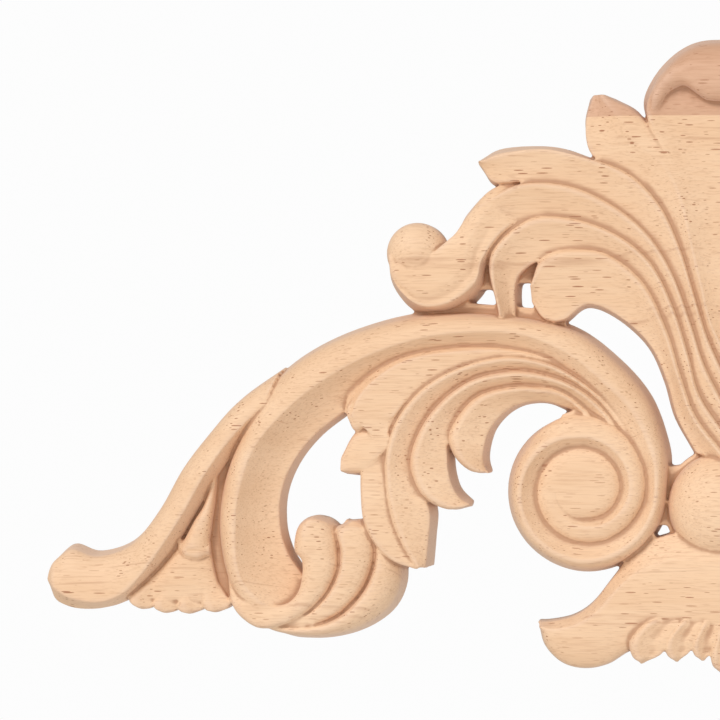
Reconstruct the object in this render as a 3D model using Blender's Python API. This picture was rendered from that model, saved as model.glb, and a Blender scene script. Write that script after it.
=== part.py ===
"""A pierced, carved wood applique for furniture or a door: two scrolled arches with hanging leaves, a fan of
leaves under a curled head, a boss at the centre and a spread of leaves below it. It is one carved solid with
a flat back.

The left half is drawn as strips. A strip is one band or lobe of the carving, between two edge lines, with a
section that climbs from the near edge to a ridge and falls again to the far edge. The strips overlap, their
union is the carved half, and a mirror makes the whole."""

import math

import bmesh
import bpy
from mathutils import Vector

# Driving sizes, in metres
SPAN = 0.3376  # from foot tip to foot tip
THICKNESS = 0.016  # from the flat back to the top of the boss
BOSS_RADIUS = 0.0129
EYE_RADIUS = 0.0086  # the disc in the middle of each volute
KNOB_RADIUS = 0.0078  # the ball in the curl of each upper scroll
OVERRUN = 0.002  # how far the strips run past the back before it is trimmed flat

# The carver's drawing is in millimetres at this span and thickness
DRAWN_SPAN = 337.6
DRAWN_THICKNESS = 16.0
MM = SPAN / DRAWN_SPAN
DEEP = THICKNESS / DRAWN_THICKNESS

ALONG_STEP = 7.5  # drawn millimetres between the sections of a strip
SECTION_STEPS = (2, 2)  # faces from the ridge to the near and to the far edge
COVE_STEPS = (2, 3)  # the same on the arch, whose cove is wide
TURNED_STEPS = 20
DOME_STEPS = 3
PAST_MIDDLE = 3.0  # where a strip that crosses the middle plane ends, in drawn millimetres
LAP = 0.7  # how far a strip runs over the groove that it shares with the next one
SAME_POINT = 1e-6

WOOD_COLOUR = (0.80, 0.58, 0.39, 1.0)
WOOD_ROUGHNESS = 0.62


def clear_scene():
    for obj in list(bpy.data.objects):
        bpy.data.objects.remove(obj, do_unlink=True)


def collection_named(name):
    collection = bpy.data.collections.new(name)
    bpy.context.scene.collection.children.link(collection)
    return collection


# Lines and sections

def curve_at(points, place):
    """The point of a smooth (Catmull-Rom) line at a place from 0, the first point, to len(points) - 1."""
    pts = [Vector(p) for p in points]
    pts = [2 * pts[0] - pts[1]] + pts + [2 * pts[-1] - pts[-2]]
    i = min(int(place), len(points) - 2)
    a, b, c, d = pts[i:i + 4]
    t = place - i
    curve = (2 * a - 5 * b + 4 * c - d) * t * t + (3 * b - a - 3 * c + d) * t ** 3
    return 0.5 * (2 * b + (c - a) * t + curve)


def places_along(near, far):
    """Where the sections stand: about ALONG_STEP apart, with one at each drawn pair of points."""
    places = []
    for i in range(len(near) - 1):
        length = max((Vector(line[i + 1]) - Vector(line[i])).length for line in (near, far))
        steps = max(1, round(length / ALONG_STEP))
        places += [i + k / steps for k in range(steps)]
    return places + [len(near) - 1]


def along(values, share):
    """The value at a share of the strip's length, eased between the values given at even distances."""
    if not isinstance(values, (list, tuple)):
        return values
    place = share * (len(values) - 1)
    i = min(int(place), len(values) - 2)
    t = place - i
    return values[i] + (values[i + 1] - values[i]) * t * t * (3 - 2 * t)


def flank(steps, low, hollow):
    """(share of the way down, height) pairs from the ridge, at height 1, to an edge at height low. A hollow
    above 1 makes a cove, and one of 0 a round shoulder."""
    pairs = []
    for i in range(1, steps + 1):
        s = i / steps
        if hollow:
            pairs.append((s, low + (1 - low) * (1 - s) ** hollow))
        else:
            turn = math.pi / 2 * s
            pairs.append((math.sin(turn), low + (1 - low) * math.cos(turn)))
    return pairs


def strip(near, far, crest, ridge=0.3, edges=(0.6, 0.6), hollows=(0, 1.5), laps=(0, 0), faces=SECTION_STEPS):
    """A closed bmesh over one band or lobe. The points of near and far stand across from each other. crest is
    the ridge's height over the back, in drawn millimetres. edges and hollows are the near and the far side's.
    ridge is a share of the way across, or a line of its own."""
    places = places_along(near, far)
    across = sum(faces)
    bm = bmesh.new()
    bmesh.ops.create_grid(bm, x_segments=across, y_segments=len(places) - 1, size=0.5)
    for v in bm.verts:
        row = round((v.co.y + 0.5) * (len(places) - 1))
        column = round((v.co.x + 0.5) * across) - faces[0]
        place = places[row]
        share = place / (len(near) - 1)
        ends = [curve_at(near, place), curve_at(far, place)]
        on_line = isinstance(ridge, (list, tuple)) and isinstance(ridge[0], tuple)
        top = curve_at(ridge, place) if on_line else ends[0].lerp(ends[1], along(ridge, share))
        side = int(column > 0)
        edge = ends[side] + (ends[side] - top).normalized() * laps[side]
        low = along(edges[side], share)
        pairs = [(0, 1)] + flank(faces[side], low, hollows[side])
        t, h = pairs[abs(column)]
        x, z = top.lerp(edge, t)
        v.co = Vector((x * MM, -h * along(crest, share) * DEEP, z * MM))
    return closed_to_back(bm)


def closed_to_back(bm):
    """Runs an open carved face down past the back and closes it there."""
    bmesh.ops.remove_doubles(bm, verts=bm.verts, dist=SAME_POINT)
    made = bmesh.ops.extrude_face_region(bm, geom=bm.faces[:], use_keep_orig=True)
    for v in made["geom"]:
        if isinstance(v, bmesh.types.BMVert):
            v.co.y = OVERRUN
    bmesh.ops.recalc_face_normals(bm, faces=bm.faces)
    return bm


def dome(centre, radius, skirt, top):
    """A turned boss: a round top that stands on a straight skirt, both heights in drawn millimetres."""
    rise = (top - skirt) * DEEP
    profile = [(0, -OVERRUN), (radius, -OVERRUN), (radius, skirt * DEEP)]
    for i in range(1, DOME_STEPS + 1):
        turn = math.pi / 2 * i / DOME_STEPS
        profile.append((radius * math.cos(turn), skirt * DEEP + rise * math.sin(turn)))
    bm = bmesh.new()
    verts = [bm.verts.new((r, -h, 0)) for r, h in profile]
    edges = [bm.edges.new(pair) for pair in zip(verts, verts[1:])]
    bmesh.ops.spin(
        bm, geom=verts + edges, cent=(0, 0, 0), axis=(0, 1, 0), angle=2 * math.pi, steps=TURNED_STEPS,
        use_merge=True
    )
    bmesh.ops.remove_doubles(bm, verts=bm.verts, dist=SAME_POINT)
    bmesh.ops.translate(bm, verts=bm.verts, vec=Vector((centre[0] * MM, 0, centre[1] * MM)))
    bmesh.ops.recalc_face_normals(bm, faces=bm.faces)
    return bm


# The long arch, from the volute over the top and down to the lower scroll

ARCH_BACK = [
    (-13, 1), (-12.4, 8), (-12.9, 15), (-17.1, 26.6), (-25, 36), (-36, 44), (-50, 47.3), (-66, 48.2),
    (-80, 46.7), (-95, 41.9), (-107, 35), (-115.5, 26), (-121.5, 14), (-124.9, 2.4), (-125.5, -9),
    (-122.6, -21), (-116.3, -29.7),
    (-107, -33.7), (-99, -34),
]
ARCH_CREASE = [
    (-16.6, 1), (-16.3, 8), (-17.5, 14), (-22, 23.5), (-29, 30.5), (-38, 37.6), (-50, 42.2), (-65, 42.4),
    (-77, 40.3),
    (-89, 35.8), (-100, 29.3), (-108.5, 22), (-115.4, 13.5), (-119, 3.3), (-120.1, -8), (-118.8, -17.8),
    (-113, -23.9), (-107, -27.4), (-100, -29),
]
ARCH_HEM = [
    (-19, 1), (-19.5, 8), (-22, 12), (-27, 20), (-33, 26), (-41, 32), (-52, 36), (-64, 36.3), (-73, 34.5),
    (-82, 30.5),
    (-91, 23.5), (-99.5, 17), (-105.2, 10), (-108.9, 2.3), (-109.9, -5.5), (-108.3, -12), (-105, -17),
    (-102, -22), (-98, -26),
]


def arch():
    return strip(
        ARCH_BACK, ARCH_HEM, crest=[12.5, 13, 13, 13, 13.2, 12.5, 11], ridge=ARCH_CREASE,
        edges=(0.42, [0.62, 0.55, 0.55, 0.5, 0.46, 0.46, 0.6]), hollows=(0, 1.9), faces=COVE_STEPS
    )


FOOT_TOP = [
    (-168.8, -17.9), (-166.5, -13.6), (-162.4, -10.8), (-156.8, -12.6), (-150, -11), (-145.1, -7.4),
    (-139.5, 0), (-134, 9.6), (-127.5, 18), (-120, 26.2), (-109, 34),
]
FOOT_CREST = [
    (-167.6, -19.5), (-165, -22.3), (-161, -24), (-154.7, -24.7), (-148.5, -22.4), (-143.6, -17.4),
    (-138.3, -10.2), (-133.2, -2.3), (-127.3, 8), (-120.6, 17), (-112.5, 25.5),
]
FOOT_HEM = [
    (-168.8, -20.9), (-165.6, -25.2), (-161, -26.8), (-154.7, -26.7), (-148, -24.5), (-141.7, -18.3),
    (-136, -11.2), (-131, -3), (-125.4, 6.5), (-118.7, 15.5), (-111, 23),
]


def foot():
    yield strip(
        FOOT_TOP, FOOT_HEM, crest=[8.5, 10.6, 11, 11.5, 12, 12.4, 12.2, 11], ridge=FOOT_CREST,
        edges=(0.5, 0.5), hollows=(0, 0)
    )


# The husk, a bellflower that hangs in the split between the foot and the arch

HUSK_TIP = (-125.6, 6)
HUSK_NECK = ((-133.8, -10), (-126.6, -10.5))
SKIRT_TOP = ((-135.4, -12), (-126.4, -13))
SKIRT_NOTCHES = [(-147.2, -23.6), (-141.3, -25), (-135.1, -25.5), (-128.6, -25.2), (-121.4, -24.6)]
SCALLOP_DROP = 1.9
SCALLOP_LAP = 0.3


def husk():
    tip = Vector(HUSK_TIP)
    left, right = (Vector(p) for p in HUSK_NECK)
    yield strip([tip, tip.lerp(left, 0.5), left], [tip + Vector((0.8, 0)), tip.lerp(right, 0.5), right],
                crest=[8.5, 10, 11], ridge=0.5, edges=(0.6, 0.6), hollows=(0, 0))
    yield dome(left.lerp(right, 0.5), (right - left).length / 2 * MM, 8, 11)
    top_left, top_right = (Vector(p) for p in SKIRT_TOP)
    count = len(SKIRT_NOTCHES) - 1
    for i in range(count):
        a, b = Vector(SKIRT_NOTCHES[i]), Vector(SKIRT_NOTCHES[i + 1])
        start_a, start_b = top_left.lerp(top_right, i / count), top_left.lerp(top_right, (i + 1) / count)
        drop = Vector((0, -SCALLOP_DROP))
        yield strip(
            [start_a + Vector((0, 3)), start_a.lerp(a, 0.5), a, a.lerp(b, 0.3) + drop],
            [start_b + Vector((0, 3)), start_b.lerp(b, 0.5), b, a.lerp(b, 0.7) + drop],
            crest=[9, 9.5, 10, 9.5], ridge=0.35, edges=(0.65, 0.65), hollows=(0, 1.5),
            laps=(SCALLOP_LAP, SCALLOP_LAP)
        )


# The lower scroll: three rolls, one round the other

ROLLS = [
    (
        [(-116, -22.6), (-108.5, -25.2), (-103.9, -21.4), (-103.3, -15.8), (-106, -11.4), (-105.8, -6.5),
         (-102.5, -3.4)],
        [(-118, -28.6), (-107, -29.5), (-99, -24), (-94.8, -17.4), (-94, -11), (-95, -7), (-98.4, -3.1)],
        [10, 11.8, 12.6, 12.7, 12.5, 9.8], 0.42, (0.7, 0.62), (0, 0),
    ),
    (
        [(-110, -29.5), (-103, -27.4), (-98, -23.4), (-94.5, -17.5), (-93.8, -12), (-94.6, -8),
         (-95.8, -4.9)],
        [(-110, -31.6), (-102, -30.5), (-94.4, -27.2), (-88.2, -20.5), (-85.6, -13), (-86.5, -8),
         (-89.4, -3.8)],
        [9, 11, 12, 12.4, 12.2, 10.2], 0.25, (0.62, 0.62), (0, 0),
    ),
    (
        [(-108, -30.5), (-101, -30), (-93, -27), (-87.3, -20.5), (-85.3, -14), (-85.6, -8)],
        [(-108, -33.8), (-100, -34.1), (-90, -32.1), (-82, -27.2), (-78.3, -20.5), (-78, -12)],
        [9, 10.5, 11.5, 11.6, 11], 0.25, (0.62, 0.48), (0, 0),
    ),
]


def rolls():
    for near, far, crest, ridge, edges, hollows in ROLLS:
        yield strip(near, far, crest, ridge, edges, hollows, laps=(LAP, LAP))


# The volute: spirals about its centre, given by their radius at each quarter turn, clockwise from its right side

VOLUTE_CENTRE = (-33.8, 4)
VOLUTE_OUTER = [21, 21.3, 20.8, 19.2, 17.9, 14.8, 12.7, 11.4]
VOLUTE_RIDGE = [17.4, 17.4, 17.1, 15.2, 12.9, 11.3, 9.2, 8.2]
VOLUTE_GROOVE = [15.2, 14.8, 12.7, 11.3, 10.1, 8.7, 6.6, 5.6]
FIRST_QUARTER = -1  # the quarter turn at which the lists above start
STATIONS_A_QUARTER = 2
FLOOR_RADIUS = 17.2  # of the ground between its turns, which reaches under its first turn
FLOOR_HEIGHT = 6.5  # of the same ground, over the back
FLOOR_SWELL = 0.1  # how far its middle rises


def spiral(radii, start, end):
    """Points of the spiral between two quarter turns."""
    cx, cz = VOLUTE_CENTRE
    points = []
    for i in range((end - start) * STATIONS_A_QUARTER + 1):
        quarter = start + i / STATIONS_A_QUARTER
        place = quarter - FIRST_QUARTER
        low = min(int(place), len(radii) - 2)
        radius = radii[low] + (radii[low + 1] - radii[low]) * (place - low)
        turn = quarter * math.pi / 2
        points.append((cx + radius * math.cos(turn), cz - radius * math.sin(turn)))
    return points


def volute():
    for start, end, crest in ((0, 3, 12.5), (2, 5, [9, 12, 12, 12]), (4, 6, [9, 12, 10])):
        yield strip(
            spiral(VOLUTE_OUTER, start, end), spiral(VOLUTE_GROOVE, start, end), crest=crest,
            ridge=spiral(VOLUTE_RIDGE, start, end), edges=(0.45 if start == 0 else 0.6, 0.62),
            hollows=(0, 1.6), laps=(0 if start == 0 else LAP / 2, LAP)
        )
    yield dome(VOLUTE_CENTRE, EYE_RADIUS, 8, 11.5)
    yield dome(VOLUTE_CENTRE, FLOOR_RADIUS * MM, FLOOR_HEIGHT, FLOOR_HEIGHT + FLOOR_SWELL)


# The hanging leaf: lobes on both sides of a main vein

MAIN_VEIN = [
    (-23, 18), (-30.2, 27), (-40, 33.8), (-50, 36.4), (-58.2, 35.6), (-67, 32.5), (-74.2, 27.7),
    (-79.4, 21.1),
    (-82.2, 12.7), (-82.3, 4.7), (-81, -3.7), (-77.8, -10.9), (-74.6, -15.3),
]
SECOND_VEIN = [
    (-23, 16.2), (-30.4, 25), (-38, 30), (-46.5, 32.4), (-54, 32.3), (-61.5, 30.2), (-68.5, 25.2),
    (-73.5, 18.5),
    (-76, 10.5), (-74.6, 4.2), (-70.6, -1), (-70.7, -8.5), (-71.1, -15.5),
]
THIRD_VEIN = [
    (-28, 18.5), (-33.4, 23.7), (-38.3, 27.7), (-46, 29), (-52, 28.9), (-58.5, 27.2), (-63, 23.5),
    (-66.4, 17.5),
    (-65.4, 10.4), (-64.3, 4.2), (-61.6, 0),
]
LEAF_HEM = [
    (-34, 21.5), (-38.4, 23.2), (-43, 25.1), (-47.5, 24.8), (-52.4, 22.2), (-55.6, 18.5), (-56.9, 14),
    (-56.5, 8.2),
]
LEAF_TOP = [
    (-29, 26.5), (-37, 33), (-45, 36.6), (-55, 38.1), (-66, 38), (-76, 37), (-83.5, 34), (-89.7, 28.5),
    (-92, 22.4),
]
LEAF_CHANNEL = [
    (-28, 28.5), (-36, 35), (-44, 38.6), (-55, 40.3), (-67, 40.2), (-78, 38.6), (-86, 35.6), (-92.5, 30),
    (-94.5, 23),
]


def leaf():
    turned_down = SECOND_VEIN[:9] + [(-74.6, 4.2), (-69.5, -1)]
    yield strip(
        LEAF_CHANNEL, MAIN_VEIN[1:8] + [(-81, 17), (-82, 14)], crest=12.2, ridge=LEAF_TOP,
        edges=(0.56, 0.68), hollows=(2, 1), laps=(0, LAP)
    )
    yield strip(
        MAIN_VEIN, SECOND_VEIN, crest=[12.5, 13, 13.4, 13.4, 12.6, 10], ridge=[0.3, 0.25, 0.22, 0.22, 0.3],
        edges=(0.64, [0.66, 0.62, 0.6, 0.5]), hollows=(0, 1.3), laps=(LAP, LAP)
    )
    yield strip(
        turned_down, THIRD_VEIN, crest=[12.3, 12.8, 13, 13, 12, 9.5], ridge=[0.35, 0.28, 0.24, 0.24],
        edges=(0.64, [0.66, 0.62, 0.55]), hollows=(0, 1.3), laps=(LAP, LAP)
    )
    third = THIRD_VEIN[:1] + THIRD_VEIN[2:8] + [(-61, 8.2)]
    yield strip(
        third, LEAF_HEM, crest=[12, 12.4, 12.6, 11.5, 9], ridge=[0.3, 0.2, 0.2, 0.25],
        edges=(0.64, [0.6, 0.5, 0.5]), hollows=(0, 1.2), laps=(LAP, 0)
    )
    for near, far, crest in LEFT_LOBES:
        yield strip(near, far, crest, ridge=0.3, edges=(0.66, 0.7), hollows=(0, 1), laps=(0, LAP))


LEFT_LOBES = [
    (
        [(-91.6, 20.8), (-90.2, 17.6), (-86.4, 18.6), (-80.5, 20.6)],
        [(-92, 24), (-90.4, 27), (-84, 29.6), (-76, 26.5)],
        [11, 12, 12.4],
    ),
    (
        [(-93.6, 7.3), (-89.4, 7), (-86, 8.2), (-81.8, 12)],
        [(-93.4, 11.5), (-90.3, 17), (-86, 19.4), (-80.5, 20.6)],
        [10, 11.5, 12.4],
    ),
    (
        [(-89.8, 10), (-89.6, 2.5), (-88.8, -4.5), (-85.4, -10.9), (-80.6, -14.8), (-74.8, -16.1)],
        [(-82.2, 12.7), (-82.2, 4.7), (-81, -3.7), (-78.8, -9.3), (-76.8, -12.6), (-74, -15.2)],
        [10.5, 11.5, 12, 11.5, 9.5],
    ),
]


# The upper spray: long lobes that fan out from above the boss, each between two veins

SPRAY_HEM = [
    (-6.9, 13.2), (-11.3, 21.6), (-13.6, 30.5), (-17.8, 39), (-25.5, 45.8), (-33, 48.9), (-39.4, 46.4),
    (-45.9, 48),
]
SPRAY_VEINS = [
    [(2, 11), (-6.4, 21.5), (-10.3, 31.5), (-13.8, 43), (-19.4, 54.2), (-28, 61.2), (-38, 62.5),
     (-46.2, 57.2)],
    [(2, 15.5), (-5.5, 26.5), (-8.5, 37), (-12.1, 48.3), (-17.6, 59), (-26, 66), (-37, 70), (-47.5, 69.7)],
    [(2, 21.5), (-4.4, 34), (-7.6, 43.8), (-12.1, 56.2), (-18.2, 66), (-27.2, 73.4), (-38.6, 78.5),
     (-50, 79.7)],
    [(2, 28.5), (-3.4, 40), (-6.8, 51), (-10.6, 63.3), (-15.6, 73.6), (-23.3, 81.4), (-33, 86.2),
     (-45, 89.1)],
    [(2, 35), (-3, 45.2), (-5.2, 54), (-7.4, 63.5), (-9.3, 72.8), (-12.4, 83), (-17, 92), (-22.6, 98)],
]
SECOND_TIP = ([(-50.2, 53), (-51, 47)], [(-57.1, 59), (-53, 47.4)])
SNAIL = (
    [(-54, 65.2), (-58.6, 57.2), (-64.5, 50.8), (-72, 48.9), (-79.4, 52)],
    [(-58, 77.6), (-63.6, 70.8), (-68, 63.5), (-74.5, 63.5), (-82.7, 60)],
)
KNOB_CENTRE = (-75, 62)
FOURTH_TIP = ([(-56, 79), (-59.3, 83)], [(-54.2, 88.4), (-60, 85.6)])
FIFTH_TIP = ([(-33.7, 94), (-32.4, 100.5)], [(-20.6, 97.2), (-26.5, 100.4)])


SPRAY_CRESTS = (
    [12.2, 12, 12, 11.5], [12.3, 12.4, 12.4, 11], [12.4, 12.6, 12.6, 12], [12.5, 12.8, 12.8, 11],
    [12.5, 13.4, 13.6, 12.5, 11],
)


def spray():
    on_vein, laps = (0.74, 0.7), (LAP, LAP)
    yield strip(SPRAY_HEM, SPRAY_VEINS[0], SPRAY_CRESTS[0], [0.75, 0.8, 0.85], on_vein, (1.4, 1), laps)
    near, far = SPRAY_VEINS[0] + SECOND_TIP[0], SPRAY_VEINS[1] + SECOND_TIP[1]
    yield strip(near, far, SPRAY_CRESTS[1], 0.75, on_vein, (1.4, 1), laps)
    near, far = SPRAY_VEINS[1] + SNAIL[0], SPRAY_VEINS[2] + SNAIL[1]
    yield strip(near, far, SPRAY_CRESTS[2], [0.75, 0.75, 0.6, 0.6], on_vein, (1.4, 1), laps)
    yield dome(KNOB_CENTRE, KNOB_RADIUS, 8, 12.5)
    near, far = SPRAY_VEINS[2] + FOURTH_TIP[0], SPRAY_VEINS[3] + FOURTH_TIP[1]
    yield strip(near, far, SPRAY_CRESTS[3], [0.75, 0.75, 0.6], on_vein, (1.4, 1), laps)
    near = SPRAY_VEINS[3][:6] + [(-31.6, 86.2)] + FIFTH_TIP[0]
    far = SPRAY_VEINS[4][:6] + [(-16.2, 90.5)] + FIFTH_TIP[1]
    yield strip(near, far, SPRAY_CRESTS[4], [0.85, 0.9, 0.8, 0.5], on_vein, (1.4, 0), laps)


# The middle: a dished leaf under the curled head, and the boss

HEAD_BACK = [(-17.6, 93), (-19.3, 98.5), (-18.2, 103), (-14.9, 108.3), (-10, 112.5), (-4.6, 114.6)]
DISH_TOP = [(-18, 98), (-15, 104)]
HEAD_LIP = [(-15.2, 93.6), (-15.2, 97.6), (-12.8, 101), (-9, 102.6), (-5.8, 100.4), (-3.4, 99.1)]


def middle():
    ridge = SPRAY_VEINS[4][:7]
    yield strip(
        ridge + DISH_TOP, [(PAST_MIDDLE, z) for _, z in ridge + DISH_TOP],
        crest=[12, 13, 13.5, 13, 10], ridge=0.08, edges=(0.9, [0.9, 0.72, 0.7]), hollows=(0, 2), laps=(1.5, 0)
    )
    yield strip(
        HEAD_BACK + [(PAST_MIDDLE, 114.9)], HEAD_LIP + [(PAST_MIDDLE, 98.8)],
        crest=[12.5, 14.5, 15.5, 16, 16], ridge=0.55, edges=(0.45, 0.85), hollows=(0, 0)
    )
    yield dome((0, 0), BOSS_RADIUS, 7, DRAWN_THICKNESS)


# The lower leaf: a wing on each side, and fingers under the boss

WING_TOP = [
    (-45.3, -28.7), (-41.8, -28.5), (-36.4, -27.2), (-31.7, -24), (-26.6, -18), (-21.5, -13.7), (-14, -9),
    (-6, -6),
]
WING_CREST = [
    (-44.5, -29.7), (-41, -30.4), (-35.6, -29.4), (-30.6, -26), (-25, -20.4), (-19.4, -16.6), (-12.5, -14),
    (-6, -14),
]
WING_HEM = [
    (-45.3, -30), (-43.8, -35.2), (-39.6, -39.4), (-34, -40.8), (-28, -39.8), (-21.2, -36.8), (-13.8, -36.3),
    (-6.8, -36.2),
]
FINGERS = [
    ([(-13, -24), (-19, -28.5), (-22.3, -33.5), (-21, -38.2)], [(-9, -26), (-12.6, -30), (-14.6, -33.8),
    (-14, -37)]),
    ([(-9.5, -24), (-12, -29.5), (-13.4, -34), (-13, -37.8)], [(-4.5, -25), (-6.9, -29), (-7.9, -33),
    (-7.5, -36.8)]),
    ([(-5, -24), (-6.5, -29), (-7.2, -33), (-6.6, -37.4)], [(-1, -25), (-2, -29.5), (-2.8, -33.5),
    (-3, -37.6)]),
    ([(-2, -24), (-2.6, -31), (-3, -36.5), (-1.6, -40.6)], [(1, -24), (1, -31), (1, -36.5), (1, -41.2)]),
]


def lower_leaf():
    yield strip(
        WING_TOP + [(PAST_MIDDLE, -6)], WING_HEM + [(PAST_MIDDLE, -37)], crest=[9.6, 10.5, 11.4, 12.2, 12.8],
        ridge=WING_CREST + [(PAST_MIDDLE, -14)], edges=([0.62, 0.62, 0.66, 0.8], [0.58, 0.6, 0.62, 0.66]),
        hollows=(0, 0)
    )
    for near, far in FINGERS:
        yield strip(
            near, far, crest=[9.8, 11, 10.6, 9.4], ridge=0.3, edges=(0.8, 0.8), hollows=(0, 1.4), laps=(0, 0.2)
        )


# The webs: low ground that ties neighbours together where the carving isn't pierced

WEBS = [
    ([(-15, 11), (-15, 3), (-15.5, -4.6)], [(-9.5, 10.4), (-11, 3), (-11.5, -4.6)], 6),
    (
        [(-76, 46.5), (-67, 46.5), (-57, 47), (-44, 45), (-37.6, 43)],
        [(-75.4, 50), (-68, 50), (-60, 49.2), (-46, 48.6), (-39.4, 47)], 6,
    ),
    ([(-61.6, 54), (-58.6, 59)], [(-54.6, 54), (-55.4, 59)], 4.5),
    ([(-49.5, 55.2), (-48, 60)], [(-45, 55.2), (-44.6, 60)], 4.5),
    ([(-20, -15), (-15, -11), (-10, -8)], [(-24.5, -12), (-19, -10), (-14, -7.6)], 6),
    ([(-127, 4), (-133, -7), (-139, -16), (-143, -21.5)], [(-122.6, 11), (-123.4, -4), (-124, -14),
    (-122, -22)], 5.5),
    ([(-93, -4), (-89, -6), (-84, -9), (-79, -14)], [(-96, -9), (-92, -12), (-87, -16), (-82, -20)], 6),
    (
        [(-112, -27), (-102.5, -20), (-101.5, -12), (-100, -6)],
        [(-106, -32), (-90, -29.5), (-80.5, -21), (-83, -12)], 6,
    ),
    ([(-31.5, 22), (-36, 23), (-40, 22)], [(-27, 16), (-33, 17), (-40, 17)], 7),
]


def webs():
    for near, far, height in WEBS:
        yield strip(near, far, height, ridge=0.5, edges=(1, 1), hollows=(1, 1))


def wood():
    material = bpy.data.materials.new("rubberwood")
    material.use_nodes = True
    shader = material.node_tree.nodes["Principled BSDF"]
    shader.inputs["Base Color"].default_value = WOOD_COLOUR
    shader.inputs["Roughness"].default_value = WOOD_ROUGHNESS
    material.diffuse_color = WOOD_COLOUR
    return material


def shaped(name, bm, collection):
    mesh = bpy.data.meshes.new(name)
    bm.to_mesh(mesh)
    bm.free()
    obj = bpy.data.objects.new(name, mesh)
    collection.objects.link(obj)
    return obj


def mirrored(bm):
    """The same strip on the right half."""
    right = bm.copy()
    bmesh.ops.scale(right, verts=right.verts, vec=Vector((-1, 1, 1)))
    bmesh.ops.reverse_faces(right, faces=right.faces)
    return right


def hidden(obj):
    obj.hide_render = True
    obj.display_type = "WIRE"


def back_cutter(collection):
    """A block behind the back plane."""
    bm = bmesh.new()
    bmesh.ops.create_cube(bm, size=1)
    bmesh.ops.scale(bm, verts=bm.verts, vec=Vector((2 * SPAN, 4 * OVERRUN, 2 * SPAN)))
    bmesh.ops.translate(bm, verts=bm.verts, vec=Vector((0, 2 * OVERRUN, 0)))
    cutter = shaped("behind_the_back", bm, collection)
    hidden(cutter)
    return cutter


def boolean(obj, name, operation):
    """A Boolean with the Manifold solver, because the Exact one leaves this union open where strips touch."""
    modifier = obj.modifiers.new(name, "BOOLEAN")
    modifier.operation = operation
    modifier.solver = "MANIFOLD"
    return modifier


def main():
    clear_scene()
    collection = collection_named("carved_wood_applique")
    strips = collection_named("strips")
    cutters = collection_named("cutters")
    left_arch = arch()
    hidden(shaped("right_arch", mirrored(left_arch), strips))
    applique = shaped("applique", left_arch, collection)
    for carve in (foot, husk, rolls, volute, leaf, spray, middle, lower_leaf, webs):
        for i, left in enumerate(carve()):
            hidden(shaped(f"right_{carve.__name__}_{i + 1}", mirrored(left), strips))
            hidden(shaped(f"left_{carve.__name__}_{i + 1}", left, strips))
    union = boolean(applique, "union of the strips", "UNION")
    union.operand_type = "COLLECTION"
    union.collection = strips
    boolean(applique, "flat back", "DIFFERENCE").object = back_cutter(cutters)
    applique.data.materials.append(wood())


main()
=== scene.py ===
# %% [markdown]
# # A carved rubberwood applique
#
# The real thing is an onlay for furniture: a blank glued up from pale rubberwood, about 34 cm wide and
# 16 mm thick, sawn through where the ground is open, carved on the front and left flat on the back. This
# lesson builds it as a carver would plan it. Every band and lobe is drawn as a strip between two edge
# lines, the strips are melted into one body, and the body is sanded, thinned and mirrored. Then it gets
# its wood, its light and its camera.

import math

import bmesh
import bpy
import numpy as np
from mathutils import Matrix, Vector


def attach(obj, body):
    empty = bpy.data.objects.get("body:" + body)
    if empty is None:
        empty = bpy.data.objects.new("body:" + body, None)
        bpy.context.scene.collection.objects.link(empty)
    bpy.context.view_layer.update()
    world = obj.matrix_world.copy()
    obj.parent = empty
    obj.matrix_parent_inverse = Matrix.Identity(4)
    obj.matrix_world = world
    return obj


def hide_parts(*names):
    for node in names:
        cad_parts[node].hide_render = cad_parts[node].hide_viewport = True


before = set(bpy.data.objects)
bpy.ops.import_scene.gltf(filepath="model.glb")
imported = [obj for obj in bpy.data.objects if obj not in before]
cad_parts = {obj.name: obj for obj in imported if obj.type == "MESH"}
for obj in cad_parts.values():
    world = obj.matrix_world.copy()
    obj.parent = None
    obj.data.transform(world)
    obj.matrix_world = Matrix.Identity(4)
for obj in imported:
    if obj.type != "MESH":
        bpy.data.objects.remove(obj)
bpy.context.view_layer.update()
MM = 0.001

# %% [markdown]
# ## Lines
#
# A carver draws with few points and a springy ruler. A Catmull-Rom curve is that ruler: it passes through
# each point and keeps an even bend between them. The two edges of a strip are drawn with the same number
# of points, so that a section can stand across from one to the other at any place along it.

# %% A smooth line through a few points
def line_at(points, places):
    """Points of the smooth line at places from 0, the first point, to len(points) - 1."""
    pts = np.array(points, float)
    pts = np.vstack([2 * pts[0] - pts[1], pts, 2 * pts[-1] - pts[-2]])
    places = np.asarray(places, float)
    i = np.minimum(places.astype(int), len(points) - 2)
    t = (places - i)[:, None]
    a, b, c, d = pts[i], pts[i + 1], pts[i + 2], pts[i + 3]
    bend, twist = 2 * a - 5 * b + 4 * c - d, 3 * b - a - 3 * c + d
    return 0.5 * (2 * b + (c - a) * t + bend * t ** 2 + twist * t ** 3)


ALONG = 1.0  # millimetres between the sections of a strip


def places_along(near, far):
    """Where the sections stand, about ALONG apart on the longer of the two edges."""
    places = [np.zeros(1)]
    for i in range(len(near) - 1):
        length = max(math.dist(line[i], line[i + 1]) for line in (near, far))
        steps = max(2, round(length / ALONG))
        places.append(i + np.arange(1, steps + 1) / steps)
    return np.concatenate(places)


def along(values, shares):
    """Values at shares of a strip's length, eased between those given at even distances."""
    if not isinstance(values, (list, tuple)):
        return np.full(len(shares), float(values))
    values = np.array(values, float)
    place = np.asarray(shares) * (len(values) - 1)
    i = np.minimum(place.astype(int), len(values) - 2)
    t = place - i
    return values[i] + (values[i + 1] - values[i]) * t * t * (3 - 2 * t)


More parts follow.
